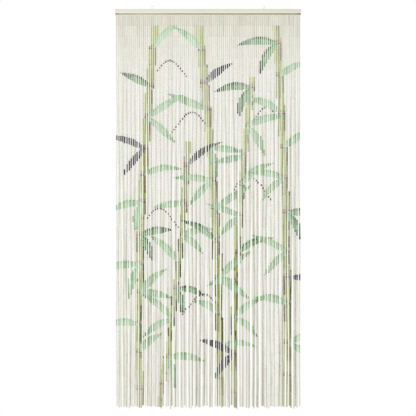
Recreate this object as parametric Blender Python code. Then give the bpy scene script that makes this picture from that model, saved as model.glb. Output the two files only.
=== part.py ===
"""A fly curtain: strands of short bamboo tubes that hang from a wooden header with two screw eyes.

Metres, +Z up. X runs along the header and Y from the curtain's front to its back. The origin is
the middle of the header's top edge, where the curtain meets the lintel that it hangs from.
"""

import math
from collections import namedtuple

import bmesh
import bpy
from mathutils import Matrix, Vector

# The header: a pale slat with a brown rail under it, as long as a door is wide
HEADER_LENGTH = 0.900
SLAT_HEIGHT = 0.0194
SLAT_DEPTH = 0.012
SLAT_EDGE = 0.0008
SLAT_DRIP_EDGE = 0.0015
RAIL_INSET = 0.001
RAIL_HEIGHT = 0.0095
RAIL_DEPTH = 0.010
RAIL_EDGE = 0.0012
SHARP_ANGLE = math.radians(60)
CLEARANCE = 0.0003

# The screw eyes: wire bent into an open ring over a straight shank
EYE_SPACING = 0.540
EYE_WIRE = 0.002
EYE_RING_RADIUS = 0.006
EYE_RING_TURN = math.radians(338)
EYE_RING_STEPS = 18
EYE_FOOT = 0.0015
SHANK_DEPTH = 0.010
PILOT_SIDES = 12

# The strands: their count, pitch and thickness, and the drop from the slat's top to their ends
STRAND_COUNT = 90
STRAND_PITCH = 0.00993
STRAND_WIDTH = 0.0072
DROP = 1.9255
END_SPREAD = 0.010
STRAND_SEGMENTS = 9

# The stringing strip that the strands' roots are fused into, and the shoulder under each root
STRIP_HEIGHT = 0.0018
STRIP_DEPTH = 0.003
ROOT_WIDTH = 0.0024
SHOULDER = 0.0014

# How the strands hang: every second one swings in front of its neighbours, so that they can
# wander and lean, and here and there they part
WANDER = 0.0011
WANDER_LENGTH = 0.80
LEAN = 0.0028
SWAY_DEPTH = 0.0012
SWAY_ACROSS = 0.11
SWAY_DOWN = 0.35
FREE_AFTER = 0.6
LAYER_DEPTH = 0.0045
LAYERED_AFTER = 0.45
OPENS_OVER = 0.30
CLOSES_OVER = 0.15

Parting = namedtuple("Parting", "after top bottom opening")
OPEN_END = -2.2
PARTINGS = (
    Parting(after=2, top=-0.70, bottom=OPEN_END, opening=0.0035),
    Parting(after=6, top=-0.95, bottom=-1.45, opening=0.0040),
    Parting(after=8, top=-0.95, bottom=OPEN_END, opening=0.0045),
    Parting(after=13, top=-1.30, bottom=OPEN_END, opening=0.0040),
    Parting(after=17, top=-1.25, bottom=OPEN_END, opening=0.0040),
    Parting(after=20, top=-0.60, bottom=-1.50, opening=0.0040),
    Parting(after=23, top=-1.25, bottom=OPEN_END, opening=0.0045),
    Parting(after=27, top=-0.55, bottom=OPEN_END, opening=0.0045),
    Parting(after=30, top=-1.40, bottom=OPEN_END, opening=0.0040),
    Parting(after=34, top=-1.10, bottom=OPEN_END, opening=0.0045),
    Parting(after=39, top=-0.80, bottom=-1.60, opening=0.0035),
    Parting(after=41, top=-1.45, bottom=OPEN_END, opening=0.0035),
    Parting(after=44, top=-1.20, bottom=OPEN_END, opening=0.0045),
    Parting(after=47, top=-0.90, bottom=OPEN_END, opening=0.0045),
    Parting(after=50, top=-0.60, bottom=-1.40, opening=0.0035),
    Parting(after=53, top=-1.20, bottom=OPEN_END, opening=0.0045),
    Parting(after=56, top=-0.65, bottom=OPEN_END, opening=0.0050),
    Parting(after=59, top=-0.55, bottom=OPEN_END, opening=0.0050),
    Parting(after=62, top=-1.45, bottom=OPEN_END, opening=0.0040),
    Parting(after=65, top=-0.95, bottom=OPEN_END, opening=0.0050),
    Parting(after=69, top=-0.55, bottom=OPEN_END, opening=0.0050),
    Parting(after=72, top=-1.35, bottom=OPEN_END, opening=0.0045),
    Parting(after=76, top=-1.20, bottom=OPEN_END, opening=0.0040),
    Parting(after=79, top=-0.75, bottom=-1.50, opening=0.0040),
    Parting(after=82, top=-1.40, bottom=OPEN_END, opening=0.0040),
    Parting(after=85, top=-0.95, bottom=OPEN_END, opening=0.0045),
    Parting(after=88, top=-0.85, bottom=OPEN_END, opening=0.0025),
)

SLAT_BOTTOM = -SLAT_HEIGHT
RAIL_TOP = SLAT_BOTTOM - CLEARANCE
RAIL_BOTTOM = RAIL_TOP - RAIL_HEIGHT
STRIP_TOP = RAIL_BOTTOM - CLEARANCE
STRIP_BOTTOM = STRIP_TOP - STRIP_HEIGHT
TUBE_TOP = STRIP_BOTTOM - SHOULDER


def clear_scene():
    for thing in list(bpy.data.objects):
        bpy.data.objects.remove(thing, do_unlink=True)


def finish(name, colour, roughness, metallic=0.0):
    """A plain Principled material in the piece's own colour."""
    material = bpy.data.materials.new(name)
    material.use_nodes = True
    shader = material.node_tree.nodes["Principled BSDF"]
    shader.inputs["Base Color"].default_value = (*colour, 1.0)
    shader.inputs["Roughness"].default_value = roughness
    shader.inputs["Metallic"].default_value = metallic
    material.diffuse_color = (*colour, 1.0)
    return material


def add_object(name, data, material=None):
    piece = bpy.data.objects.new(name, data)
    bpy.context.scene.collection.objects.link(piece)
    if material:
        data.materials.append(material)
    return piece


def mesh_from(bm, name):
    mesh = bpy.data.meshes.new(name)
    bmesh.ops.recalc_face_normals(bm, faces=bm.faces[:])
    bm.to_mesh(mesh)
    bm.free()
    return mesh


def ease_edges(bm, edges, width):
    bmesh.ops.bevel(
        bm, geom=edges, offset=width, affect="EDGES", segments=2, profile=0.5, material=-1
    )


def planed_strip(length, depth, height, top, edge, drip_edge):
    """A planed strip of wood with eased edges, its lower front edge rounded more than the rest."""
    bm = bmesh.new()
    middle = Matrix.Translation((0, 0, top - height / 2))
    size = Matrix.Diagonal((length, depth, height, 1.0))
    bmesh.ops.create_cube(bm, size=1.0, matrix=middle @ size)
    lower_front = []
    for line in bm.edges:
        if all(corner.co.y < 0 and corner.co.z < top - height / 2 for corner in line.verts):
            lower_front.append(line)
    ease_edges(bm, lower_front, drip_edge)
    sharp = [line for line in bm.edges if line.calc_face_angle() > SHARP_ANGLE]
    ease_edges(bm, sharp, edge)
    return bm


def pilot_holes(shank_radius):
    """The cutter for the two holes that the screw eyes' shanks sit in."""
    bm = bmesh.new()
    depth = SHANK_DEPTH + CLEARANCE
    for side in (-1, 1):
        middle = Vector((side * EYE_SPACING / 2, 0, 0))
        bmesh.ops.create_cone(
            bm,
            cap_ends=True,
            segments=PILOT_SIDES,
            radius1=shank_radius + CLEARANCE,
            radius2=shank_radius + CLEARANCE,
            depth=2 * depth,
            matrix=Matrix.Translation(middle),
        )
    cutter = add_object("pilot_holes", mesh_from(bm, "pilot_holes"))
    cutter.hide_render = True
    cutter.display_type = "WIRE"
    return cutter


def header_slat():
    bm = planed_strip(HEADER_LENGTH, SLAT_DEPTH, SLAT_HEIGHT, 0.0, SLAT_EDGE, SLAT_DRIP_EDGE)
    pale_wood = finish("pale_wood", (0.72, 0.74, 0.62), 0.6)
    slat = add_object("header_slat", mesh_from(bm, "header_slat"), pale_wood)
    holes = slat.modifiers.new("pilot holes", "BOOLEAN")
    holes.operation = "DIFFERENCE"
    holes.object = pilot_holes(EYE_WIRE / 2)


def under_rail():
    length = HEADER_LENGTH - 2 * RAIL_INSET
    bm = planed_strip(length, RAIL_DEPTH, RAIL_HEIGHT, RAIL_TOP, RAIL_EDGE, RAIL_EDGE)
    brown_wood = finish("brown_wood", (0.38, 0.32, 0.2), 0.65)
    add_object("under_rail", mesh_from(bm, "under_rail"), brown_wood)


def screw_eye(name, x, steel):
    """One length of wire: a straight shank, then a ring that stops just short of closing."""
    centre_z = EYE_FOOT + EYE_WIRE / 2 + EYE_RING_RADIUS
    path = [Vector((x, 0, -SHANK_DEPTH))]
    for step in range(EYE_RING_STEPS + 1):
        turn = EYE_RING_TURN * step / EYE_RING_STEPS
        across = EYE_RING_RADIUS * math.sin(turn)
        up = centre_z - EYE_RING_RADIUS * math.cos(turn)
        path.append(Vector((x + across, 0, up)))
    wire = bpy.data.curves.new(name, "CURVE")
    wire.dimensions = "3D"
    wire.bevel_depth = EYE_WIRE / 2
    wire.bevel_resolution = 2
    wire.use_fill_caps = True
    spline = wire.splines.new("POLY")
    spline.points.add(len(path) - 1)
    for point, place in zip(spline.points, path):
        point.co = (*place, 1.0)
    add_object(name, wire, steel)


def scatter(strand, salt):
    """A fixed number from -1 to 1 for each strand and use, as uneven as hand work."""
    value = math.sin(strand * 12.9898 + salt * 78.233) * 43758.5453
    return 2 * (value - math.floor(value)) - 1


def ramp(distance, length):
    """Rises smoothly from 0 to 1 over a length."""
    share = min(max(distance / length, 0.0), 1.0)
    return share * share * (3 - 2 * share)


def root_x(strand):
    return (strand - (STRAND_COUNT - 1) / 2) * STRAND_PITCH


def strand_end(strand):
    """The height at which a strand ends, a little uneven from one to the next."""
    return -DROP - END_SPREAD * 0.5 * (scatter(strand, 3) + scatter(strand, 4))


def openness(parting, z):
    """How far a parting is open at height z, from 0 to 1."""
    return ramp(parting.top - z, OPENS_OVER) * ramp(z - parting.bottom, CLOSES_OVER)


def strand_place(strand, z):
    """The point of a strand's centre line at height z.

    At a parting the strands on both sides lean away from it. The odd strands hang behind the
    even ones from a little below the top, so that neighbours pass each other without touching.
    """
    free = ramp(TUBE_TOP - z, FREE_AFTER)
    wave = z / (WANDER_LENGTH * (1 + 0.3 * scatter(strand, 1))) + scatter(strand, 2)
    aside = WANDER * free * math.sin(2 * math.pi * wave)
    aside += LEAN * scatter(strand, 10) * (TUBE_TOP - z) / DROP
    for parting in PARTINGS:
        steps = strand - parting.after - 0.5
        beyond = abs(steps) - 0.5
        push = parting.opening / 2 * math.exp(-(beyond**2)) * openness(parting, z)
        aside += math.copysign(push, steps)
    layer = 1 if strand % 2 else -1
    depth = layer * LAYER_DEPTH * ramp(TUBE_TOP - z, LAYERED_AFTER)
    sway = SWAY_DEPTH * free * math.sin(root_x(strand) / SWAY_ACROSS + z / SWAY_DOWN)
    return Vector((root_x(strand) + aside, depth + sway, z))


def extrude(bm, face):
    """Extrudes one face in place and returns the new end face, whose corners can then be moved."""
    return bmesh.ops.extrude_discrete_faces(bm, faces=[face])["faces"][0]


def stringing_strip():
    """The narrow strip under the rail, cut across so that each strand has a root face under it."""
    cuts = []
    for strand in range(STRAND_COUNT):
        cuts.append(root_x(strand) - ROOT_WIDTH / 2)
        cuts.append(root_x(strand) + ROOT_WIDTH / 2)
    cuts.append(cuts[-1] + ROOT_WIDTH)
    left = cuts[0] - ROOT_WIDTH
    bm = bmesh.new()
    middle = Vector(((left + cuts[0]) / 2, 0, (STRIP_TOP + STRIP_BOTTOM) / 2))
    size = Matrix.Diagonal((cuts[0] - left, STRIP_DEPTH, STRIP_HEIGHT, 1.0))
    bmesh.ops.create_cube(bm, size=1.0, matrix=Matrix.Translation(middle) @ size)
    end = max(bm.faces, key=lambda face: face.calc_center_median().x)
    for cut in cuts[1:]:
        end = extrude(bm, end)
        for corner in end.verts:
            corner.co.x = cut
    return bm


def root_faces(bm):
    """Every second face under the strip, from left to right: the strands' roots."""
    bm.normal_update()
    under = [face for face in bm.faces if face.normal.z < -0.5]
    under.sort(key=lambda face: face.calc_center_median().x)
    return under[1::2]


def strands():
    """All strands and the strip that they hang from, one solid."""
    bm = stringing_strip()
    half = STRAND_WIDTH / 2
    for strand, tip in enumerate(root_faces(bm)):
        here = Vector((root_x(strand), 0, STRIP_BOTTOM))
        length = TUBE_TOP - strand_end(strand)
        for level in range(STRAND_SEGMENTS + 1):
            there = strand_place(strand, TUBE_TOP - length * level / STRAND_SEGMENTS)
            tip = extrude(bm, tip)
            for corner in tip.verts:
                x = math.copysign(half, corner.co.x - here.x)
                y = math.copysign(half, corner.co.y - here.y)
                corner.co = there + Vector((x, y, 0))
            here = there
    bamboo = finish("bamboo", (0.62, 0.6, 0.48), 0.5)
    add_object("strands", mesh_from(bm, "strands"), bamboo)


clear_scene()
header_slat()
under_rail()
zinc = finish("zinc_steel", (0.66, 0.66, 0.64), 0.35, metallic=1.0)
screw_eye("screw_eye_left", -EYE_SPACING / 2, zinc)
screw_eye("screw_eye_right", EYE_SPACING / 2, zinc)
strands()
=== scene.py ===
import math
from collections import namedtuple

import bmesh
import bpy
from mathutils import Matrix, Vector


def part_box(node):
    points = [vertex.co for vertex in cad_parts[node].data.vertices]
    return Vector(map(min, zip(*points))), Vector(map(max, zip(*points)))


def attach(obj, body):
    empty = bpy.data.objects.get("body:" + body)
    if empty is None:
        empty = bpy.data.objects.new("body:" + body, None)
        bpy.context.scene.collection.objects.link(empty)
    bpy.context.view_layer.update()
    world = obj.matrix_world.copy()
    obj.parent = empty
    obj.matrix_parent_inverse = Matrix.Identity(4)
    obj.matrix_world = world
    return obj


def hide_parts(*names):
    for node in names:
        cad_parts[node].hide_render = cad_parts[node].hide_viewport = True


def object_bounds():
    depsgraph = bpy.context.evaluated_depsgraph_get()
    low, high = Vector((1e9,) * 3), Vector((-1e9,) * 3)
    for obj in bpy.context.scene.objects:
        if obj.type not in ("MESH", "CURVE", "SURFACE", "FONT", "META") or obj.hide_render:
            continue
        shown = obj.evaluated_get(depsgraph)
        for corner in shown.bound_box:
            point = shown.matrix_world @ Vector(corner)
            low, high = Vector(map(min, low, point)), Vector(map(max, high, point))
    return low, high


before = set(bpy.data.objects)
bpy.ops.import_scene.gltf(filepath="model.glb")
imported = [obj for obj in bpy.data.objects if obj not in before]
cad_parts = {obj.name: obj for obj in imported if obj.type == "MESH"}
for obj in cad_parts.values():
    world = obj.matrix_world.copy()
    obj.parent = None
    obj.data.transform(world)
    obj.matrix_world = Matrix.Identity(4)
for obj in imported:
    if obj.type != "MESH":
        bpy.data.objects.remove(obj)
cad_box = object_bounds()

# The view. The curtain is seen square on from far away, so that every strand looks upright, and
# it fills the height of the picture.
VIEW_WIDTH = 2.013
VIEW_DISTANCE = 24.0
VIEW_MIDDLE = Vector((0.0, 0.0, -0.963))

camera_data = bpy.data.cameras.new("camera")
camera_data.sensor_width = 36.0
camera_data.lens = camera_data.sensor_width * VIEW_DISTANCE / VIEW_WIDTH
camera_data.clip_end = 100.0
camera = bpy.data.objects.new("camera", camera_data)
camera.location = VIEW_MIDDLE - Vector((0.0, VIEW_DISTANCE, 0.0))
camera.rotation_euler = (math.radians(90), 0.0, 0.0)
bpy.context.scene.collection.objects.link(camera)
bpy.context.scene.camera = camera
bpy.context.scene.view_settings.view_transform = "Standard"

# The studio. A white surround gives soft even light, and one broad lamp on each side in front
# rounds the tubes. The curtain hangs a little above a plain pale floor.
SURROUND_LIGHT = 0.72
FLOOR_BELOW = 0.07
FLOOR_WIDTH = 3.0
FLOOR_FRONT = 2.2
FLOOR_BACK = 0.5
FLOOR_COLOUR = (0.9, 0.9, 0.89)
FLOOR_ROUGHNESS = 0.7

Softbox = namedtuple("Softbox", "name place size power")
SOFTBOXES = (
    Softbox("key_softbox", place=Vector((-2.2, -4.2, 0.6)), size=(2.4, 3.4), power=80),
    Softbox("fill_softbox", place=Vector((2.8, -3.6, -1.2)), size=(2.4, 3.0), power=34),
)

for softbox in SOFTBOXES:
    lamp = bpy.data.lights.new(softbox.name, "AREA")
    lamp.shape = "RECTANGLE"
    lamp.size, lamp.size_y = softbox.size
    lamp.energy = softbox.power
    box = bpy.data.objects.new(softbox.name, lamp)
    box.location = softbox.place
    box.rotation_euler = (VIEW_MIDDLE - softbox.place).to_track_quat("-Z", "Y").to_euler()
    bpy.context.scene.collection.objects.link(box)

surround = bpy.data.worlds.new("white_surround")
surround.use_nodes = True
bpy.context.scene.world = surround
seen = surround.node_tree.nodes.new("ShaderNodeLightPath")
strength = surround.node_tree.nodes.new("ShaderNodeMapRange")
strength.inputs["To Min"].default_value = SURROUND_LIGHT
strength.inputs["To Max"].default_value = 1.0
surround.node_tree.links.new(seen.outputs["Is Camera Ray"], strength.inputs["Value"])
backdrop = surround.node_tree.nodes["Background"]
backdrop.inputs["Color"].default_value = (1.0, 1.0, 1.0, 1.0)
surround.node_tree.links.new(strength.outputs["Result"], backdrop.inputs["Strength"])

floor_bm = bmesh.new()
floor_size = Matrix.Diagonal((FLOOR_WIDTH, FLOOR_FRONT + FLOOR_BACK, 1.0, 1.0))
floor_place = Vector((0.0, (FLOOR_BACK - FLOOR_FRONT) / 2, cad_box[0].z - FLOOR_BELOW))
bmesh.ops.create_grid(
    floor_bm, x_segments=1, y_segments=1, size=0.5, matrix=Matrix.Translation(floor_place) @ floor_size
)
floor_mesh = bpy.data.meshes.new("floor")
floor_bm.to_mesh(floor_mesh)
floor_bm.free()
floor = bpy.data.objects.new("floor", floor_mesh)
bpy.context.scene.collection.objects.link(floor)
floor_paint = bpy.data.materials.new("floor_paint")
floor_paint.use_nodes = True
floor_shader = floor_paint.node_tree.nodes["Principled BSDF"]
floor_shader.inputs["Base Color"].default_value = (*FLOOR_COLOUR, 1.0)
floor_shader.inputs["Roughness"].default_value = FLOOR_ROUGHNESS
floor_mesh.materials.append(floor_paint)

# The header slat. One planed lath with eased edges, the lower front one rounded, whitewashed so
# that the grain still shows, with a painted highlight along the lower front edge, paler where light
# catches the rounding.
SLAT_LOW, SLAT_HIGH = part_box("header_slat")
SLAT_EDGE = 0.0008
SLAT_DRIP_EDGE = 0.0015
# The painted highlight along the slat's lower front edge: its height, soft border and waver, and how far
# in from the front face it reaches.
HIGHLIGHT_HEIGHT = 0.0048
HIGHLIGHT_FADE = 0.0006
HIGHLIGHT_UNEVEN = 0.0008
FRONT_SKIN = 0.003
FRONT_FADE = 0.001
END_SKIN = 0.0008
END_COVER = 0.8
SLAT_GRAIN = (9.0, 420.0, 420.0)
SLAT_CLOUD = (14.0, 60.0, 60.0)
SLAT_GRAIN_DEPTH = 0.00025
SLAT_ROUGHNESS, SLAT_ROUGHER = 0.48, 0.2
WORN_BY_GRAIN, WORN_BY_CLOUD = 0.7, 0.3
WORN_FROM, WORN_AT = 0.46, 0.66
WORN_COVER = 0.55
EDGE_SEGMENTS = 3
DRIP_SEGMENTS = 6
SHARP_ANGLE = math.radians(60)
SMOOTH_ANGLE = math.radians(40)
WHITEWASH = (0.67, 0.68, 0.60, 1.0)
WHITEWASH_WORN = (0.58, 0.57, 0.46, 1.0)
# The colour of the painted highlight along the lower front edge.
PAINTED_HIGHLIGHT = (0.84, 0.82, 0.67, 1.0)
END_GRAIN = (0.42, 0.36, 0.24, 1.0)


class Number:
    """A number in a material, so that shader maths reads as ordinary sums."""

    def __init__(self, finish, socket):
        self.finish = finish
        self.socket = socket

    def maths(self, operation, first, second):
        return self.finish.node("Math", {"operation": operation}, {0: first, 1: second})

    def __add__(self, other):
        return self.maths("ADD", self, other)

    def __sub__(self, other):
        return self.maths("SUBTRACT", self, other)

    def __rsub__(self, other):
        return self.maths("SUBTRACT", other, self)

    def __mul__(self, other):
        return self.maths("MULTIPLY", self, other)

    __radd__ = __add__
    __rmul__ = __mul__


class Finish:
    """A material made of shader nodes, each added by one call."""

    def __init__(self, name):
        self.material = bpy.data.materials.new(name)
        self.material.use_nodes = True
        self.tree = self.material.node_tree
        self.shader = self.tree.nodes["Principled BSDF"]

    def node(self, kind, settings, inputs, output=0):
        """Adds a node: its settings first, then the values or links of its sockets."""
        made = self.tree.nodes.new("ShaderNode" + kind)
        for name, value in settings.items():
            setattr(made, name, value)
        self.feed(made, inputs)
        return Number(self, made.outputs[output])

    def feed(self, target, inputs):
        for name, value in inputs.items():
            if isinstance(value, Number):
                self.tree.links.new(value.socket, target.inputs[name])
            else:
                target.inputs[name].default_value = value

    def place(self):
        return self.node("TexCoord", {}, {}, "Object")

    def noise(self, stretch, detail=3.0, roughness=0.55):
        """Noise from 0 to 1 on the piece's own coordinates, stretch times finer along each axis."""
        spot = self.node("Mapping", {}, {"Vector": self.place(), "Scale": stretch})
        made = {"Vector": spot, "Scale": 1.0, "Detail": detail, "Roughness": roughness}
        return self.node("TexNoise", {}, made)

    def between(self, value, low, high):
        """0 up to low, 1 from high on and smooth between; falls where low is the greater."""
        limits = {"Value": value, "From Min": low, "From Max": high}
        return self.node("MapRange", {"interpolation_type": "SMOOTHSTEP"}, limits)

    def blend(self, share, first, second):
        """A colour, first where share is 0 and second where it is 1."""
        return self.node("Mix", {"data_type": "RGBA"}, {0: share, 6: first, 7: second}, 2)

    def axis(self, index):
        return self.node("SeparateXYZ", {}, {0: self.place()}, index)

    def bump(self, height, depth):
        """Raises the surface by up to depth metres where height is 1."""
        made = {"Height": height, "Distance": depth, "Strength": 1.0}
        self.feed(self.shader, {"Normal": self.node("Bump", {}, made)})


def ease_edges(bm, edges, width, segments):
    bmesh.ops.bevel(
        bm, geom=edges, offset=width, affect="EDGES", segments=segments, profile=0.5, material=-1
    )


def planed_strip(low, high, edge, drip_edge):
    """A strip of planed wood between two corners, its lower front edge rounded by drip_edge."""
    bm = bmesh.new()
    middle = (low + high) / 2
    size = Matrix.Diagonal((*(high - low), 1.0))
    bmesh.ops.create_cube(bm, size=1.0, matrix=Matrix.Translation(middle) @ size)
    lower_front = []
    for line in bm.edges:
        if all(corner.co.y < middle.y and corner.co.z < middle.z for corner in line.verts):
            lower_front.append(line)
    ease_edges(bm, lower_front, drip_edge, DRIP_SEGMENTS)
    sharp = [line for line in bm.edges if line.calc_face_angle() > SHARP_ANGLE]
    ease_edges(bm, sharp, edge, EDGE_SEGMENTS)
    return bm


def add_piece(name, bm, material, slot, *nodes):
    """A finished piece of the object that rides on its one body and stands for CAD nodes."""
    bmesh.ops.recalc_face_normals(bm, faces=bm.faces[:])
    mesh = bpy.data.meshes.new(name)
    bm.to_mesh(mesh)
    bm.free()
    mesh.shade_smooth()
    mesh.set_sharp_from_angle(angle=SMOOTH_ANGLE)
    mesh.materials.append(material)
    piece = bpy.data.objects.new(name, mesh)
    bpy.context.scene.collection.objects.link(piece)
    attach(piece, "root")
    if nodes:
        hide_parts(*nodes)
    return piece


def whitewashed_wood():
    finish = Finish("whitewashed_wood")
    grain = finish.noise(SLAT_GRAIN, detail=4.0)
    cloud = finish.noise(SLAT_CLOUD, detail=2.0)
    worn = finish.between(grain * WORN_BY_GRAIN + cloud * WORN_BY_CLOUD, WORN_FROM, WORN_AT)
    colour = finish.blend(worn * WORN_COVER, WHITEWASH, WHITEWASH_WORN)
    # A painted highlight: the lower front edge is painted paler, standing in for light caught on its
    # rounding.
    above = finish.axis(2) + cloud * HIGHLIGHT_UNEVEN - SLAT_LOW.z
    highlight_band = finish.between(above, HIGHLIGHT_HEIGHT + HIGHLIGHT_FADE, HIGHLIGHT_HEIGHT)
    front = finish.between(finish.axis(1) - SLAT_LOW.y, FRONT_SKIN + FRONT_FADE, FRONT_SKIN)
    colour = finish.blend(highlight_band * front, colour, PAINTED_HIGHLIGHT)
    from_middle = finish.node("Math", {"operation": "ABSOLUTE"}, {0: finish.axis(0)})
    cut_end = finish.between(from_middle, SLAT_HIGH.x - END_SKIN, SLAT_HIGH.x - END_SKIN / 4)
    colour = finish.blend(cut_end * END_COVER, colour, END_GRAIN)
    rough = SLAT_ROUGHNESS + SLAT_ROUGHER * grain
    finish.feed(finish.shader, {"Base Color": colour, "Roughness": rough})
    finish.bump(grain, SLAT_GRAIN_DEPTH)
    return finish.material


slat_bm = planed_strip(SLAT_LOW, SLAT_HIGH, SLAT_EDGE, SLAT_DRIP_EDGE)
add_piece("pale_slat", slat_bm, whitewashed_wood(), "pale_wood", "header_slat")

# The under rail. A thin brown strip nailed along the slat's underside; its brown is darker in the
# grain and towards the right, and painted shade darkens both ends.
RAIL_LOW, RAIL_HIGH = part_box("under_rail")
RAIL_EDGE = 0.0012
# The rail's brown from its left end to its right end, and one dark colour for both its grain and the
# painted shade at its ends.
BROWN_LEFT = (0.53, 0.48, 0.36, 1.0)
BROWN_RIGHT = (0.42, 0.38, 0.245, 1.0)
GRAIN_AND_END_SHADE_DARK = (0.20, 0.15, 0.085, 1.0)
END_SHADE_LENGTH = 0.03
BROWN_WAVERS = 0.2
DARK_FROM, DARK_AT = 0.5, 0.72
DARK_GRAIN, PAINTED_END_SHADE = 0.6, 0.5
RAIL_GRAIN = (12.0, 500.0, 500.0)
RAIL_CLOUD = (7.0, 7.0, 7.0)
RAIL_GRAIN_DEPTH = 0.0003
RAIL_ROUGHNESS, RAIL_ROUGHER = 0.5, 0.25


def stained_wood():
    finish = Finish("stained_wood")
    grain = finish.noise(RAIL_GRAIN, detail=4.0)
    cloud = finish.noise(RAIL_CLOUD, detail=2.0)
    # Darker towards the right, blended across the rail with a waver.
    across = finish.between(finish.axis(0) + cloud * BROWN_WAVERS, RAIL_LOW.x, RAIL_HIGH.x)
    colour = finish.blend(across, BROWN_LEFT, BROWN_RIGHT)
    # Darker in the grain, and painted shade over the last few centimetres at both ends.
    from_middle = finish.node("Math", {"operation": "ABSOLUTE"}, {0: finish.axis(0)})
    shaded_end = finish.between(from_middle, RAIL_HIGH.x - END_SHADE_LENGTH, RAIL_HIGH.x)
    dark = finish.between(grain, DARK_FROM, DARK_AT) * DARK_GRAIN + shaded_end * PAINTED_END_SHADE
    colour = finish.blend(dark, colour, GRAIN_AND_END_SHADE_DARK)
    rough = RAIL_ROUGHNESS + RAIL_ROUGHER * grain
    finish.feed(finish.shader, {"Base Color": colour, "Roughness": rough})
    finish.bump(grain, RAIL_GRAIN_DEPTH)
    return finish.material


rail_bm = planed_strip(RAIL_LOW, RAIL_HIGH, RAIL_EDGE, RAIL_EDGE)
add_piece("brown_rail", rail_bm, stained_wood(), "brown_wood", "under_rail")

# The screw eyes. Each is one length of zinc-plated wire: a shank screwed into the slat's top, a
# tight bend, and a ring that stops just short of closing. Small hooks in the lintel hold them.
EYE_SPACING = 0.540
EYE_WIRE = 0.002
EYE_SIDES = 12
EYE_FOOT = 0.0015
BEND_RADIUS = 0.0012
BEND_STEPS = 6
SAME_PLACE = 0.00001
RING_STEPS = 40
RING_TURN = math.radians(338)
ZINC = (0.82, 0.82, 0.80, 1.0)
ZINC_DULL = (0.60, 0.60, 0.58, 1.0)
ZINC_ROUGHNESS, DULL_ROUGHER = 0.25, 0.25
DULL_PATCHES = (500.0, 500.0, 500.0)
DULL_FROM, DULL_AT = 0.4, 0.7


def draw_out(bm, rim, rise):
    """Lengthens a wire's open end by rise, upwards where that is over 0, and returns its new end."""
    made = bmesh.ops.extrude_edge_only(bm, edges=rim)["geom"]
    end = [v for v in made if isinstance(v, bmesh.types.BMVert)]
    bmesh.ops.translate(bm, verts=end, vec=(0.0, 0.0, rise))
    return end


def turn_end(bm, end, centre, axis, angle, steps):
    """Carries a wire's open end round a bend and returns its new end."""
    rim = [line for line in bm.edges if all(v in end for v in line.verts)]
    made = bmesh.ops.spin(
        bm, geom=end + rim, cent=centre, axis=axis, angle=angle, steps=steps
    )["geom_last"]
    return [v for v in made if isinstance(v, bmesh.types.BMVert)]


def screw_eye(node, x):
    low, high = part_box(node)
    ring_radius = (high.z - EYE_WIRE - EYE_FOOT) / 2
    ring_z = high.z - EYE_WIRE / 2 - ring_radius
    start = math.asin(BEND_RADIUS / (ring_radius + BEND_RADIUS))
    bend_z = ring_z - (ring_radius + BEND_RADIUS) * math.cos(start)
    bm = bmesh.new()
    foot = Matrix.Translation((x, 0.0, low.z))
    rim = bmesh.ops.create_circle(bm, segments=EYE_SIDES, radius=EYE_WIRE / 2, matrix=foot)["verts"]
    bmesh.ops.contextual_create(bm, geom=rim)
    end = draw_out(bm, bm.edges[:], bend_z - low.z)
    bend = Vector((x + BEND_RADIUS, 0.0, bend_z))
    end = turn_end(bm, end, bend, (0.0, 1.0, 0.0), math.radians(90) - start, BEND_STEPS)
    ring = Vector((x, 0.0, ring_z))
    end = turn_end(bm, end, ring, (0.0, -1.0, 0.0), RING_TURN - start, RING_STEPS)
    bmesh.ops.contextual_create(bm, geom=end)
    bmesh.ops.remove_doubles(bm, verts=bm.verts[:], dist=SAME_PLACE)
    return bm


def plated_steel():
    finish = Finish("plated_steel")
    dull = finish.between(finish.noise(DULL_PATCHES), DULL_FROM, DULL_AT)
    colour = finish.blend(dull, ZINC, ZINC_DULL)
    rough = ZINC_ROUGHNESS + DULL_ROUGHER * dull
    finish.feed(finish.shader, {"Base Color": colour, "Roughness": rough, "Metallic": 1.0})
    return finish.material


zinc = plated_steel()
for side, x in (("left", -EYE_SPACING / 2), ("right", EYE_SPACING / 2)):
    eye_bm = screw_eye(f"screw_eye_{side}", x)
    add_piece(f"{side}_screw_eye", eye_bm, zinc, "zinc_steel", f"screw_eye_{side}")

# How the strands hang. Every second strand swings in front of its neighbours, so the ninety can
# wander and lean past each other, and here and there they part. The source's strands follow
# the same rule.
STRAND_COUNT = 90
STRAND_PITCH = 0.00993
STRIP_CLEARANCE = 0.0003
STRIP_HEIGHT = 0.0018
SHOULDER = 0.0014
STRIP_FOOT = RAIL_LOW.z - STRIP_CLEARANCE - STRIP_HEIGHT
TUBE_TOP = STRIP_FOOT - SHOULDER
DROP = 1.9255
END_SPREAD = 0.010
WANDER = 0.0011
WANDER_LENGTH = 0.80
WANDER_SPREAD = 0.3
LEAN = 0.0028
SWAY_DEPTH = 0.0012
SWAY_ACROSS = 0.11
SWAY_DOWN = 0.35
FREE_AFTER = 0.6
LAYER_DEPTH = 0.0045
LAYERED_AFTER = 0.45
OPENS_OVER = 0.30
CLOSES_OVER = 0.15
NUMBERS_A_STEP = 100

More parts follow.
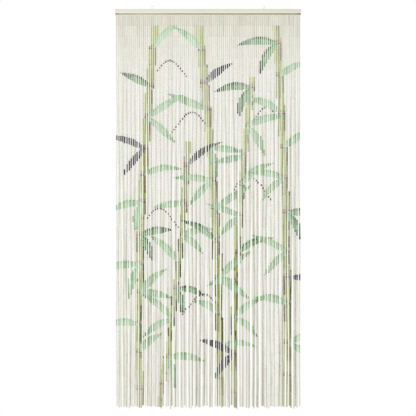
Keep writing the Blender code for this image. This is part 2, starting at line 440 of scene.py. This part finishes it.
Parting = namedtuple("Parting", "after top bottom opening")
OPEN_END = -2.2
PARTINGS = (
    Parting(after=2, top=-0.70, bottom=OPEN_END, opening=0.0035),
    Parting(after=6, top=-0.95, bottom=-1.45, opening=0.0040),
    Parting(after=8, top=-0.95, bottom=OPEN_END, opening=0.0045),
    Parting(after=13, top=-1.30, bottom=OPEN_END, opening=0.0040),
    Parting(after=17, top=-1.25, bottom=OPEN_END, opening=0.0040),
    Parting(after=20, top=-0.60, bottom=-1.50, opening=0.0040),
    Parting(after=23, top=-1.25, bottom=OPEN_END, opening=0.0045),
    Parting(after=27, top=-0.55, bottom=OPEN_END, opening=0.0045),
    Parting(after=30, top=-1.40, bottom=OPEN_END, opening=0.0040),
    Parting(after=34, top=-1.10, bottom=OPEN_END, opening=0.0045),
    Parting(after=39, top=-0.80, bottom=-1.60, opening=0.0035),
    Parting(after=41, top=-1.45, bottom=OPEN_END, opening=0.0035),
    Parting(after=44, top=-1.20, bottom=OPEN_END, opening=0.0045),
    Parting(after=47, top=-0.90, bottom=OPEN_END, opening=0.0045),
    Parting(after=50, top=-0.60, bottom=-1.40, opening=0.0035),
    Parting(after=53, top=-1.20, bottom=OPEN_END, opening=0.0045),
    Parting(after=56, top=-0.65, bottom=OPEN_END, opening=0.0050),
    Parting(after=59, top=-0.55, bottom=OPEN_END, opening=0.0050),
    Parting(after=62, top=-1.45, bottom=OPEN_END, opening=0.0040),
    Parting(after=65, top=-0.95, bottom=OPEN_END, opening=0.0050),
    Parting(after=69, top=-0.55, bottom=OPEN_END, opening=0.0050),
    Parting(after=72, top=-1.35, bottom=OPEN_END, opening=0.0045),
    Parting(after=76, top=-1.20, bottom=OPEN_END, opening=0.0040),
    Parting(after=79, top=-0.75, bottom=-1.50, opening=0.0040),
    Parting(after=82, top=-1.40, bottom=OPEN_END, opening=0.0040),
    Parting(after=85, top=-0.95, bottom=OPEN_END, opening=0.0045),
    Parting(after=88, top=-0.85, bottom=OPEN_END, opening=0.0025),
)


def scatter(strand, salt):
    """A fixed number from -1 to 1 for each strand and use, as uneven as hand work."""
    value = math.sin(strand * 12.9898 + salt * 78.233) * 43758.5453
    return 2 * (value - math.floor(value)) - 1


def joint_number(strand, step):
    """A number of its own for each joint of each strand."""
    return strand + NUMBERS_A_STEP * step


def ramp(distance, length):
    """Rises smoothly from 0 to 1 over a length."""
    share = min(max(distance / length, 0.0), 1.0)
    return share * share * (3 - 2 * share)


def root_x(strand):
    return (strand - (STRAND_COUNT - 1) / 2) * STRAND_PITCH


def strand_end(strand):
    return -DROP - END_SPREAD * 0.5 * (scatter(strand, 3) + scatter(strand, 4))


def openness(parting, z):
    return ramp(parting.top - z, OPENS_OVER) * ramp(z - parting.bottom, CLOSES_OVER)


def strand_place(strand, z):
    """The point of a strand's centre line at height z."""
    free = ramp(TUBE_TOP - z, FREE_AFTER)
    wave = z / (WANDER_LENGTH * (1 + WANDER_SPREAD * scatter(strand, 1))) + scatter(strand, 2)
    aside = WANDER * free * math.sin(2 * math.pi * wave)
    aside += LEAN * scatter(strand, 10) * (TUBE_TOP - z) / DROP
    for parting in PARTINGS:
        steps = strand - parting.after - 0.5
        beyond = abs(steps) - 0.5
        push = parting.opening / 2 * math.exp(-(beyond**2)) * openness(parting, z)
        aside += math.copysign(push, steps)
    layer = 1 if strand % 2 else -1
    depth = layer * LAYER_DEPTH * ramp(TUBE_TOP - z, LAYERED_AFTER)
    sway = SWAY_DEPTH * free * math.sin(root_x(strand) / SWAY_ACROSS + z / SWAY_DOWN)
    return Vector((root_x(strand) + aside, depth + sway, z))


# Where each strand is cut into tubes. The first two rows are cut alike, so their joints line up
# across the curtain, and below them the lengths vary from tube to tube.
TOP_JOINT = STRIP_FOOT - 0.0006
FIRST_ROW = 0.0471
SECOND_ROW = 0.0537
ROW_SPREAD = 0.0004
TUBE_LENGTH = 0.0512
LENGTH_SPREAD = 0.16
JOINT_JITTER = 0.00025
LINK_GAP = 0.0004


def strand_joints(strand):
    """The middles of a strand's joints from its top to its end, both ends counted."""
    heights = [TOP_JOINT, TUBE_TOP - FIRST_ROW + ROW_SPREAD * scatter(strand, 5)]
    heights.append(heights[-1] - SECOND_ROW + ROW_SPREAD * scatter(strand, 6))
    left = heights[-1] - strand_end(strand) + LINK_GAP / 2
    count = round(left / TUBE_LENGTH)
    shares = [1 + LENGTH_SPREAD * scatter(joint_number(strand, step), 7) for step in range(count)]
    for share in shares:
        heights.append(heights[-1] - left * share / sum(shares))
    joints = []
    for step, z in enumerate(heights):
        middle = strand_place(strand, z)
        if step:
            middle.x += JOINT_JITTER * scatter(joint_number(strand, step), 8)
            middle.y += JOINT_JITTER * scatter(joint_number(strand, step), 9)
        joints.append(middle)
    return joints


# The print. Leaning jointed reeds with broad blades to both sides, stencilled across all the
# strands, so that on each strand a motif is a row of blunt upright bars. It starts under the
# first row of tubes. The design is plain and laid out by rule, with deeper reeds low down.
PRINT_TOP = -0.080
PRINT_FOOT = -1.94
PRINT_STEP = 0.003

LEAF_PALE = (0.46, 0.66, 0.41)
LEAF_LIGHT = (0.35, 0.58, 0.29)
LEAF_GREEN = (0.22, 0.43, 0.17)
LEAF_DARK = (0.08, 0.20, 0.055)
GREY_LIGHT = (0.19, 0.187, 0.182)
GREY_MIDDLE = (0.055, 0.054, 0.053)
GREY_DARK = (0.012, 0.012, 0.012)
STEM_LIGHT = (0.56, 0.62, 0.25)
STEM_GREEN = (0.43, 0.48, 0.13)
STEM_DEEP = (0.07, 0.085, 0.0)
STEM_SHADE = (0.22, 0.16, 0.05)
STEM_BROWN = (0.42, 0.33, 0.20)
STEM_JOINT = (0.15, 0.09, 0.04)
TENDRIL_BROWN = (0.12, 0.055, 0.045)

Inks = namedtuple("Inks", "light middle dark dark_from")
PALE_LEAF = Inks(LEAF_PALE, LEAF_LIGHT, LEAF_GREEN, dark_from=0.80)
DEEP_LEAF = Inks(LEAF_GREEN, LEAF_DARK, GREY_DARK, dark_from=0.84)
GREY_LEAF = Inks(GREY_LIGHT, GREY_MIDDLE, GREY_DARK, dark_from=0.45)

Reed = namedtuple("Reed", "foot head top bow width first_side")
REEDS = (
    Reed(foot=-0.330, head=-0.255, top=-0.080, bow=-0.030, width=0.038, first_side=1),
    Reed(foot=-0.240, head=-0.095, top=-0.640, bow=0.020, width=0.029, first_side=1),
    Reed(foot=0.060, head=-0.045, top=-0.080, bow=0.028, width=0.041, first_side=-1),
    Reed(foot=0.120, head=0.215, top=-0.330, bow=-0.024, width=0.031, first_side=-1),
    Reed(foot=0.385, head=0.330, top=-0.080, bow=0.020, width=0.038, first_side=-1),
)
JOINT_SPACING = 0.158
JOINT_HALF = 0.0035
JOINT_SWELL = 0.018
SHADE_LENGTH = 0.085
DEEP_TOP = -1.10
DEEP_FOOT = -1.62
FAR_RIGHT = 0.5
RIGHT_OF_MIDDLE = 0.05
FAR_LEFT = -0.6
FIRST_JOINT = 0.09
FIRST_JOINT_SPREAD = 0.05
JOINT_UNEVEN = 0.2
JOINTLESS_FOOT = 0.05
NUMBERS_A_REED = 10

Blade = namedtuple("Blade", "x z heading length width arch inks")
BLADES_ABOVE = -1.70
BLADE_LENGTH = 0.178
BLADE_LENGTH_SPREAD = 0.2
SECOND_SHORTER = 0.12
BLADE_WIDTH = 0.035
BLADE_WIDTH_SPREAD = 0.004
BLADE_ARCH = 0.06
BLADE_RISE = 14
BLADE_RISE_SPREAD = 30
SECOND_DROOPS = 62
SECOND_DROOP_SPREAD = 14
SINGLE_UNDER = 0.25
GREY_EVERY, GREY_FROM = 9, 4
DEEP_EVERY, DEEP_FROM = 5, 2
LIT_ABOVE = 0.3
TIP_SHARE = 0.2
BLADE_FULLNESS = 0.8
Tendril = namedtuple("Tendril", "x z reach rise")
TENDRIL_HALF = 0.0025
TENDRIL_BEND = 1.25 * math.pi
TENDRILS = (
    Tendril(x=-0.245, z=-0.300, reach=0.150, rise=0.050),
    Tendril(x=-0.010, z=-0.560, reach=-0.170, rise=0.060),
    Tendril(x=0.330, z=-0.520, reach=-0.120, rise=0.045),
    Tendril(x=-0.300, z=-1.020, reach=0.160, rise=0.055),
    Tendril(x=0.120, z=-0.880, reach=0.190, rise=0.070),
    Tendril(x=0.050, z=-1.440, reach=-0.180, rise=0.060),
)


def reed_x(reed, z):
    share = (z - PRINT_FOOT) / (reed.top - PRINT_FOOT)
    return reed.foot + (reed.head - reed.foot) * share + reed.bow * math.sin(math.pi * share)


def reed_joints(index, reed):
    heights = []
    z = reed.top - FIRST_JOINT - FIRST_JOINT_SPREAD * scatter(index, 21)
    while z > PRINT_FOOT + JOINTLESS_FOOT:
        heights.append(z)
        z -= JOINT_SPACING * (1 + JOINT_UNEVEN * scatter(len(heights) + NUMBERS_A_REED * index, 22))
    return heights


def reed_ink(reed, joints, x, z):
    across = (x - reed_x(reed, z)) / (reed.width / 2)
    if z > reed.top or abs(across) > 1:
        return None
    above = [z - joint for joint in joints]
    if any(abs(rise) < JOINT_HALF for rise in above):
        return STEM_JOINT
    if any(0 < rise < JOINT_SWELL for rise in above):
        return STEM_BROWN
    shaded = any(0 < -rise < SHADE_LENGTH for rise in above)
    deep = DEEP_FOOT < z < DEEP_TOP
    if across > FAR_RIGHT:
        return STEM_DEEP if deep else STEM_SHADE if shaded else STEM_GREEN
    if across < FAR_LEFT:
        return STEM_SHADE if shaded and deep else STEM_LIGHT
    return STEM_GREEN if shaded or across > RIGHT_OF_MIDDLE else STEM_LIGHT


def blade_ink(blade, x, z):
    right, up = x - blade.x, z - blade.z
    level = math.cos(blade.heading)
    share = (right * level + up * math.sin(blade.heading)) / blade.length
    if not 0 < share < 1:
        return None
    side = math.copysign(1, level)
    lift = blade.arch * blade.length * math.sin(math.pi * share)
    across = (up * level - right * math.sin(blade.heading)) * side - lift
    half = blade.width / 2 * math.sin(math.pi * share**BLADE_FULLNESS) ** BLADE_FULLNESS
    if abs(across) > half:
        return None
    if share > blade.inks.dark_from:
        return blade.inks.dark
    near_tip = share > blade.inks.dark_from - TIP_SHARE
    return blade.inks.middle if across > LIT_ABOVE * half or near_tip else blade.inks.light


def blade_inks(number):
    if number % GREY_EVERY == GREY_FROM:
        return GREY_LEAF
    return DEEP_LEAF if number % DEEP_EVERY == DEEP_FROM else PALE_LEAF


def add_blades(blades, root, side, number):
    """The one or two blades at a reed's joint: the first mostly rises and the second droops."""
    length = BLADE_LENGTH * (1 + BLADE_LENGTH_SPREAD * scatter(number, 32))
    width = BLADE_WIDTH + BLADE_WIDTH_SPREAD * scatter(number, 34)
    arch = BLADE_ARCH * (1 + scatter(number, 33))
    rise = BLADE_RISE + BLADE_RISE_SPREAD * scatter(number, 31)
    droop = SECOND_DROOPS + SECOND_DROOP_SPREAD * scatter(number, 36)
    pair = [(rise, length), (rise - droop, length * (1 - SECOND_SHORTER))]
    for angle, reach in pair[: 1 if scatter(number, 35) < SINGLE_UNDER else 2]:
        heading = math.radians(angle) if side > 0 else math.pi - math.radians(angle)
        blades.append(Blade(*root, heading, reach, width, arch, blade_inks(number)))


def all_blades():
    blades = []
    number = 0
    for index, reed in enumerate(REEDS):
        side = reed.first_side
        for joint in reed_joints(index, reed):
            number += 1
            if joint > BLADES_ABOVE:
                add_blades(blades, (reed_x(reed, joint), joint), side, number)
                side = -side
    return blades


def strand_print(strand, blades, joints):
    x = root_x(strand)
    column = [None] * int((PRINT_TOP - PRINT_FOOT) / PRINT_STEP)

    def paint(top, bottom, ink_at):
        first = max(int((PRINT_TOP - top) / PRINT_STEP), 0)
        last = min(int((PRINT_TOP - bottom) / PRINT_STEP) + 1, len(column))
        for row in range(first, last):
            column[row] = ink_at(PRINT_TOP - (row + 0.5) * PRINT_STEP) or column[row]

    for reed, heights in zip(REEDS, joints):
        paint(reed.top, PRINT_FOOT, lambda z: reed_ink(reed, heights, x, z))
    for tendril in TENDRILS:
        share = (x - tendril.x) / tendril.reach
        if 0 < share < 1:
            z = tendril.z + tendril.rise * math.sin(TENDRIL_BEND * share)
            paint(z + TENDRIL_HALF, z - TENDRIL_HALF, lambda _: TENDRIL_BROWN)
    for blade in blades:
        if abs(blade.x - x) < blade.length:
            paint(blade.z + blade.length, blade.z - blade.length, lambda z: blade_ink(blade, x, z))
    return column


def print_at(column, z):
    row = int((PRINT_TOP - z) / PRINT_STEP)
    return column[row] if z < PRINT_TOP and row < len(column) else None


def print_changes(column, top, bottom):
    """The heights between two heights at which a strand's ink changes, from the top down."""
    first = max(int((PRINT_TOP - top) / PRINT_STEP), 1)
    last = min(int((PRINT_TOP - bottom) / PRINT_STEP) + 1, len(column))
    changes = []
    if top > PRINT_TOP > bottom and column[0]:
        changes.append(PRINT_TOP)
    for row in range(first, last):
        z = PRINT_TOP - row * PRINT_STEP
        if column[row] != column[row - 1] and top > z > bottom:
            changes.append(z)
    return changes


# The tubes. Thin bamboo cut into short lengths, each with its bore, eased cut ends and its own
# tone; one in eight keeps a knuckle of the cane. The top ones are the thickest and nearly bare,
# and the others have a pale coat under the print, uneven in tint and cover. Five strands a piece.
TUBE_RADIUS = 0.00365
TOP_SWELLS = (1.10, 1.03)
RADIUS_SPREAD = 0.05
BORE = 0.0024
CUT_EDGE = 0.0003
TUBE_SIDES = 10
KNUCKLE_SWELL = 0.0003
KNUCKLE_HALF = 0.0014
KNUCKLE_OVER = 0.75
KNUCKLE_STRAY = 0.3
ROW_GAP = 0.0008
STRANDS_TOGETHER = 5
MAP_COLUMNS, MAP_ROWS = 24, 8
MAP_SIDE_MARGIN, MAP_END_MARGIN = 0.04, 0.015
BORE_ON_MAP = 3 * BORE
NUMBERS_A_STRAND = 40
BARE_TUBES = 2
CUT_BROWN = (0.48, 0.42, 0.30, 1.0)
CUT_COATED = (0.64, 0.60, 0.49, 1.0)
BORE_BROWN = (0.10, 0.06, 0.03, 1.0)
COATS = (
    (0.88, 0.875, 0.805),
    (0.89, 0.86, 0.77),
    (0.86, 0.89, 0.80),
    (0.88, 0.87, 0.84),
    (0.89, 0.85, 0.81),
)
COAT_SPREAD = 0.36
COAT_STEPS = 7.3
COAT_TOP = 0.10
COAT_FULL = 0.74
COAT_FULL_BELOW = 0.42
COAT_THINS_AT = 1.20
COAT_THINNED = 0.14
BACK_FADE = 0.35
BACK_FROM, BACK_OVER = 0.2, 0.6
INK_DEPTH = 0.4
INK_THINNED = 0.35
FOOT_FADE = 0.45
BAMBOO_PALE = (0.69, 0.675, 0.545, 1.0)
BAMBOO_DEEP = (0.47, 0.45, 0.33, 1.0)
BAMBOO_PINK = (0.66, 0.575, 0.47, 1.0)
BAMBOO_GREEN = (0.57, 0.615, 0.44, 1.0)
FIBRE = (1300.0, 1300.0, 14.0)
FIBRE_DEPTH = 0.0001
BAMBOO_CLOUD = (90.0, 90.0, 9.0)
BAMBOO_ROUGHNESS, FIBRE_ROUGHER, INK_ROUGHER = 0.42, 0.2, 0.1
NOISE_MIDDLE = 0.5
TONE_MIDDLE = 0.42
TUBE_TONES, FIBRE_TONES, CLOUD_TONES = 0.40, 0.5, 0.4
CAST_FROM, CAST_AT, CAST_COVER = 0.1, 0.8, 0.8
WEAR = 0.4
WEAR_BY_FIBRE, WEAR_BY_CLOUD = 0.6, 0.4
WEAR_FROM, WEAR_AT = 0.44, 0.62
UNWORN_COVER = 1.06

Tube = namedtuple("Tube", "top down side across inks heights cell")
TONE_OF_STRAND = 0.6
INK_OF_STRAND = 0.7


def shared(strand, seed, salt, share):
    """A fixed number from -1 to 1, that share of it the strand's own and the rest the tube's."""
    return share * scatter(strand, salt) + (1 - share) * scatter(seed, salt)


def tube_rows(length, radius, cuts, knuckle):
    """A tube's cross-section as (radius, depth) rows, from its bore's top round to its foot."""
    swells = {depth: 0.0 for depth in cuts}
    if knuckle:
        swells.update({knuckle - KNUCKLE_HALF: 0.0, knuckle: KNUCKLE_SWELL, knuckle + KNUCKLE_HALF: 0.0})
    rows = [(BORE, 0.0), (radius - CUT_EDGE, 0.0), (radius, CUT_EDGE)]
    last = CUT_EDGE
    for depth in sorted(swells):
        if depth - last > ROW_GAP and length - CUT_EDGE - depth > ROW_GAP:
            rows.append((radius + swells[depth], depth))
            last = depth
    rows += [(radius, length - CUT_EDGE), (radius - CUT_EDGE, length), (BORE, length)]
    return rows


def row_inks(rows, top_z, column, depth, coat, cut_colour):
    """The ink of each band from one row to the next: the cut ends, the wall and the bore."""
    inks = [cut_colour, cut_colour]
    for (_, upper), (_, lower) in zip(rows[2:-3], rows[3:-2]):
        z = top_z - (upper + lower) / 2
        ink = print_at(column, z)
        if ink:
            shade = 1 - INK_DEPTH * max(depth, 0.0)
            cover = 1 - INK_THINNED * max(-depth, 0.0)
            cover -= FOOT_FADE * ramp(DEEP_FOOT - z, DEEP_FOOT - PRINT_FOOT)
            inks.append((*(part * shade for part in ink), cover))
        else:
            cover = COAT_TOP + (COAT_FULL - COAT_TOP) * ramp(-z, COAT_FULL_BELOW)
            cover -= COAT_THINNED * ramp(-z - COAT_THINS_AT, DROP - COAT_THINS_AT)
            cover -= COAT_SPREAD * coat * ramp(-z, DROP)
            inks.append((*COATS[int((coat + 1) * COAT_STEPS) % len(COATS)], min(cover, 1.0)))
    return inks + [cut_colour, cut_colour, BORE_BROWN]


def add_tube(model, number, strand, step, upper, lower, column):
    """Spins one tube between two joints into a model mesh, with its tones, inks and map."""
    down = (lower - upper).normalized()
    top = upper + down * LINK_GAP / 2
    length = (lower - upper).length - LINK_GAP
    seed = strand * NUMBERS_A_STRAND + step
    swell = TOP_SWELLS[step] if step < len(TOP_SWELLS) else 1.0
    radius = TUBE_RADIUS * swell * (1 + RADIUS_SPREAD * scatter(seed, 41))
    knuckle = 0.0
    if scatter(seed, 43) > KNUCKLE_OVER:
        knuckle = length * (0.5 + KNUCKLE_STRAY * scatter(seed, 42))
    cuts = [top.z - z for z in print_changes(column, top.z, lower.z)]
    rows = tube_rows(length, radius, cuts, knuckle)
    angle = math.pi * scatter(seed, 44)
    side = Vector((math.cos(angle), math.sin(angle), 0.0))
    side = (side - down * side.dot(down)).normalized()
    bm = bmesh.new()
    tone_layer = bm.verts.layers.float.new("tone")
    cast_layer = bm.verts.layers.float.new("cast")
    row_layer = bm.verts.layers.int.new("row")
    rim = []
    for row, (reach, depth) in enumerate(rows):
        corner = bm.verts.new(top + side * reach + down * depth)
        corner[row_layer] = row
        corner[tone_layer] = shared(strand, seed, 45, TONE_OF_STRAND)
        corner[cast_layer] = shared(strand, seed, 46, TONE_OF_STRAND)
        rim.append(corner)
    lines = [bm.edges.new(pair) for pair in zip(rim, rim[1:] + rim[:1])]
    bmesh.ops.spin(
        bm, geom=rim + lines, cent=top, axis=down, angle=2 * math.pi, steps=TUBE_SIDES, use_merge=True
    )
    heights = [0.0]
    for (reach, depth), (next_reach, next_depth) in zip(rows, rows[1:]):
        heights.append(heights[-1] + math.hypot(next_reach - reach, next_depth - depth))
    heights.append(heights[-1] + BORE_ON_MAP)
    depth = shared(strand, seed, 47, INK_OF_STRAND)
    coat = shared(strand, seed, 48, INK_OF_STRAND)
    cut_colour = CUT_BROWN if step < BARE_TUBES else CUT_COATED
    inks = row_inks(rows, top.z, column, depth, coat, cut_colour)
    tube = Tube(top, down, side, down.cross(side), inks, heights, number)
    ink_and_map(bm, tube)
    bm.verts.layers.int.remove(bm.verts.layers.int["row"])
    bm.to_mesh(model)
    bm.free()


def ink_and_map(bm, tube):
    """Gives every corner its ink, fainter at the curtain's back, and its place on the map."""
    ink_layer = bm.loops.layers.float_color.new("ink")
    map_layer = bm.loops.layers.uv.new("OFBake")
    row_layer = bm.verts.layers.int["row"]
    last = len(tube.heights) - 2
    wall = range(2, last - 2)
    for face in bm.faces:
        rows = {corner[row_layer] for corner in face.verts}
        band = last if rows == {0, last} else min(rows)
        steps = []
        for loop in face.loops:
            arm = loop.vert.co - tube.top
            turn = math.atan2(arm.dot(tube.across), arm.dot(tube.side)) / (2 * math.pi)
            steps.append(round(turn * TUBE_SIDES) % TUBE_SIDES)
        wraps = max(steps) - min(steps) > 1
        *colour, cover = tube.inks[band]
        for loop, step in zip(face.loops, steps):
            arm = loop.vert.co - tube.top
            row = loop.vert[row_layer]
            if band in wall:
                facing = (arm - tube.down * arm.dot(tube.down)).normalized().y
                fade = 1 - BACK_FADE * ramp(facing - BACK_FROM, BACK_OVER)
            else:
                fade = 1.0
            loop[ink_layer] = (*colour, cover * fade)
            along = tube.heights[last + 1 if band == last and row == 0 else row] / tube.heights[-1]
            round_it = (TUBE_SIDES if wraps and step == 0 else step) / TUBE_SIDES
            column, line = tube.cell % MAP_COLUMNS, tube.cell // MAP_COLUMNS
            loop[map_layer].uv = (
                (column + MAP_SIDE_MARGIN + (1 - 2 * MAP_SIDE_MARGIN) * round_it) / MAP_COLUMNS,
                (line + MAP_END_MARGIN + (1 - 2 * MAP_END_MARGIN) * along) / MAP_ROWS,
            )


def bleached_bamboo():
    finish = Finish("bleached_bamboo")
    tone = finish.node("Attribute", {"attribute_name": "tone"}, {}, "Fac")
    cast = finish.node("Attribute", {"attribute_name": "cast"}, {}, "Fac")
    fibre = finish.noise(FIBRE, detail=3.0)
    cloud = finish.noise(BAMBOO_CLOUD, detail=2.0)
    deep = tone * TUBE_TONES + TONE_MIDDLE
    deep = deep + (fibre - NOISE_MIDDLE) * FIBRE_TONES + (cloud - NOISE_MIDDLE) * CLOUD_TONES
    colour = finish.blend(finish.between(deep, 0.0, 1.0), BAMBOO_PALE, BAMBOO_DEEP)
    pink = finish.between(cast, CAST_FROM, CAST_AT) * CAST_COVER
    colour = finish.blend(pink, colour, BAMBOO_PINK)
    green = finish.between(cast, -CAST_FROM, -CAST_AT) * CAST_COVER
    colour = finish.blend(green, colour, BAMBOO_GREEN)
    ink = finish.node("Attribute", {"attribute_name": "ink"}, {}, "Color")
    cover = finish.node("Attribute", {"attribute_name": "ink"}, {}, "Alpha")
    worn = finish.between(fibre * WEAR_BY_FIBRE + cloud * WEAR_BY_CLOUD, WEAR_FROM, WEAR_AT)
    inked = cover * (1 - (UNWORN_COVER - cover) * WEAR * worn)
    colour = finish.blend(inked, colour, ink)
    rough = BAMBOO_ROUGHNESS + FIBRE_ROUGHER * fibre + INK_ROUGHER * inked
    finish.feed(finish.shader, {"Base Color": colour, "Roughness": rough})
    finish.bump(fibre, FIBRE_DEPTH)
    return finish.material


bamboo = bleached_bamboo()
blades = all_blades()
painted_joints = [reed_joints(index, reed) for index, reed in enumerate(REEDS)]
joints_of = [strand_joints(strand) for strand in range(STRAND_COUNT)]

tube_model = bpy.data.meshes.new("tube")
for first in range(0, STRAND_COUNT, STRANDS_TOGETHER):
    strands_bm = bmesh.new()
    count = 0
    for strand in range(first, first + STRANDS_TOGETHER):
        column = strand_print(strand, blades, painted_joints)
        joints = joints_of[strand]
        for step, (upper, lower) in enumerate(zip(joints, joints[1:])):
            add_tube(tube_model, count, strand, step, upper, lower, column)
            strands_bm.from_mesh(tube_model)
            tube_model.clear_geometry()
            count += 1
    number = first // STRANDS_TOGETHER + 1
    add_piece(f"bamboo_strands_{number:02d}", strands_bm, bamboo, "bamboo", "strands")

# The links. Each tube holds a wire whose ends are bent into small loops; at a joint the loop of
# the upper tube carries that of the lower one, a quarter turn round. The last loop hangs free.
LINK_WIRE = 0.0005
LOOP_RADIUS = 0.0006
LOOP_DIP = 0.00025
LEG_LENGTH = 0.0024
LOOP_STEPS = 3
LINK_SIDES = 4
LINK_TURN = 0.6
STRANDS_LINKED = 15
STEEL = (0.66, 0.62, 0.56, 1.0)
STEEL_ROUGHNESS = 0.45


def wire_loop(downwards):
    """One bent wire end about the origin, with both legs up into a tube's bore, or down."""
    bm = bmesh.new()
    bend_z = LOOP_RADIUS - LOOP_DIP
    start = Matrix.Translation((-LOOP_RADIUS, 0.0, bend_z + LEG_LENGTH))
    rim = bmesh.ops.create_circle(bm, segments=LINK_SIDES, radius=LINK_WIRE / 2, matrix=start)["verts"]
    bmesh.ops.contextual_create(bm, geom=rim)
    end = draw_out(bm, bm.edges[:], -LEG_LENGTH)
    end = turn_end(bm, end, (0.0, 0.0, bend_z), (0.0, -1.0, 0.0), math.pi, LOOP_STEPS)
    rim = [line for line in bm.edges if all(v in end for v in line.verts)]
    end = draw_out(bm, rim, LEG_LENGTH)
    bmesh.ops.contextual_create(bm, geom=end)
    if downwards:
        bmesh.ops.rotate(bm, verts=bm.verts[:], matrix=Matrix.Rotation(math.pi, 3, "X"))
        bmesh.ops.rotate(bm, verts=bm.verts[:], matrix=Matrix.Rotation(math.pi / 2, 3, "Z"))
    model = bpy.data.meshes.new("wire_loop")
    bm.to_mesh(model)
    bm.free()
    return model


def add_copy(bm, model, place):
    start = len(bm.verts)
    bm.from_mesh(model)
    bm.verts.ensure_lookup_table()
    bmesh.ops.transform(bm, matrix=place, verts=bm.verts[start:])


def dull_steel():
    finish = Finish("dull_steel")
    finish.feed(finish.shader, {"Base Color": STEEL, "Roughness": STEEL_ROUGHNESS, "Metallic": 1.0})
    return finish.material


steel = dull_steel()
upper_loop = wire_loop(downwards=False)
lower_loop = wire_loop(downwards=True)
for first in range(0, STRAND_COUNT, STRANDS_LINKED):
    links_bm = bmesh.new()
    for strand in range(first, first + STRANDS_LINKED):
        joints = joints_of[strand]
        for step, middle in enumerate(joints):
            angle = LINK_TURN * scatter(joint_number(strand, step), 51)
            place = Matrix.Translation(middle) @ Matrix.Rotation(angle, 4, "Z")
            if step > 0:
                add_copy(links_bm, upper_loop, place)
            if step < len(joints) - 1:
                add_copy(links_bm, lower_loop, place)
    number = first // STRANDS_LINKED + 1
    add_piece(f"wire_links_{number:02d}", links_bm, steel, "zinc_steel", "strands")

# The stringing wire. One straight wire with a pale coat runs along the rail's underside, stapled
# to it every few strands, and the top loop of each strand hangs from it.
STRING_WIRE = 0.0008
STRING_SIDES = 8
STRING_ABOVE = 0.0007
STRING_Z = TOP_JOINT + STRING_ABOVE
STRING_PAST = 0.003
STAPLE_EVERY = 6
STAPLE_BELOW = 0.0006
WIRE_COAT = (0.90, 0.90, 0.84, 1.0)
WIRE_ROUGHNESS = 0.45


def coated_wire():
    finish = Finish("coated_wire")
    finish.feed(finish.shader, {"Base Color": WIRE_COAT, "Roughness": WIRE_ROUGHNESS})
    return finish.material


string_bm = bmesh.new()
half_length = root_x(STRAND_COUNT - 1) + STRING_PAST
for strand in range(0, STRAND_COUNT - 1, STAPLE_EVERY):
    middle = Vector((root_x(strand) + STRAND_PITCH / 2, 0.0, STRING_Z - STAPLE_BELOW))
    place = Matrix.Translation(middle) @ Matrix.Rotation(math.pi / 2, 4, "Z")
    add_copy(string_bm, upper_loop, place)
lie = Matrix.Translation((0.0, 0.0, STRING_Z)) @ Matrix.Rotation(math.pi / 2, 4, "Y")
bmesh.ops.create_cone(
    string_bm, cap_ends=True, segments=STRING_SIDES, radius1=STRING_WIRE / 2,
    radius2=STRING_WIRE / 2, depth=2 * half_length, matrix=lie,
)
add_piece("stringing_wire", string_bm, coated_wire(), "zinc_steel", "strands")
